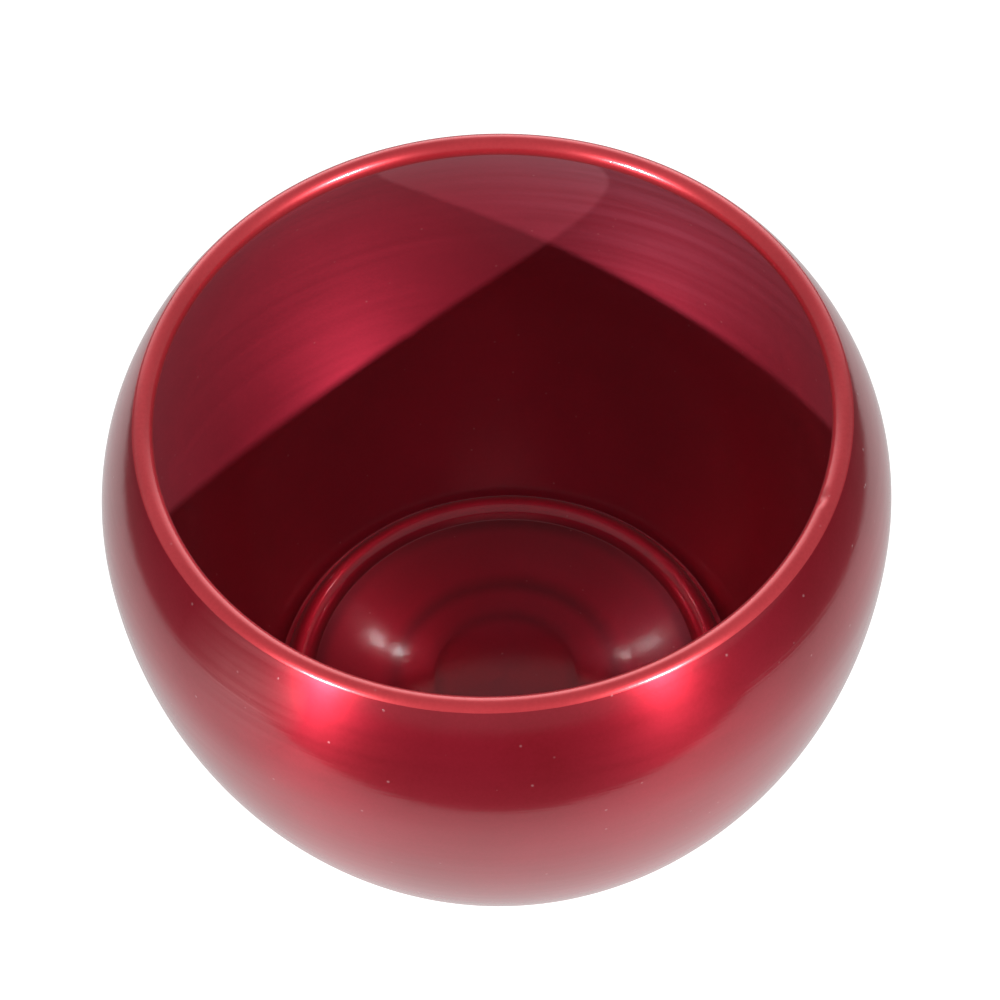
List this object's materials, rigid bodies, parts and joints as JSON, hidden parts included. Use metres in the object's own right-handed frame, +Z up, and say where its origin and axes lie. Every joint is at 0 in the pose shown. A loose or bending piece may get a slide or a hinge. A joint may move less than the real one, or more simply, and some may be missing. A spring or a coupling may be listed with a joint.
{
  "type": "decorative bowl",
  "caption": "Round open bowl with a belly wider than its mouth, a thick rounded rim and a ring pressed up around the floor.",
  "frame": {"origin": "on the bowl's axis, in the plane that it stands on", "axes": "+Z up along the bowl's axis; X and Y are interchangeable"},
  "size_m": [0.15, 0.15, 0.0992],
  "materials": {
    "lacquered_sheet": "glossy translucent red lacquer over lathe-turned metal",
    "wire": "bright drawn wire"
  },
  "bodies": {
    "root": {"bowl_shell": "lacquered_sheet", "rim_wire": "wire"}
  },
  "joints": []
}
